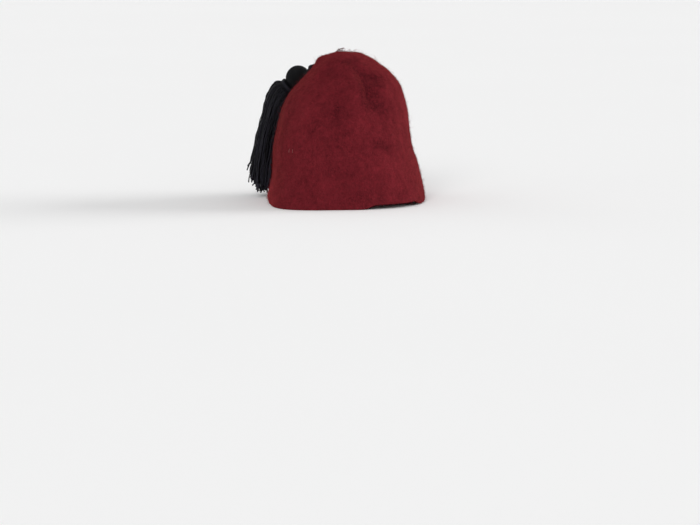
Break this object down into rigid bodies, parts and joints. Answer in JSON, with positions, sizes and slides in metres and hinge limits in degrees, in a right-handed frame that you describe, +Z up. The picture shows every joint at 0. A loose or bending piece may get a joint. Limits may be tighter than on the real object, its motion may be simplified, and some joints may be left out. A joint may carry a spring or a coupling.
{
  "type": "fez hat",
  "caption": "Soft crimson felt fez with a domed, dented crown and a black thread tassel on a short cord, standing on its rim.",
  "frame": {"origin": "middle of the rim, on the surface that the hat stands on", "axes": "+Z up through the crown, -Y the front of the hat, +X the wearer's left, and the tassel hangs on the -X side towards the back"},
  "size_m": [0.1869, 0.194, 0.1575],
  "materials": {
    "felt": "crimson fulled wool felt with a short mottled nap",
    "button_thread": "black thread wound over a small button",
    "twisted_cord": "black twisted silk cord",
    "binding_thread": "black thread wound round the tassel's neck",
    "tassel_thread": "black silk threads with a soft sheen"
  },
  "bodies": {
    "root": {"crown": "felt", "top_button": "button_thread", "tassel_cord": "twisted_cord", "neck_binding": "binding_thread", "tassel": "tassel_thread"}
  },
  "joints": []
}
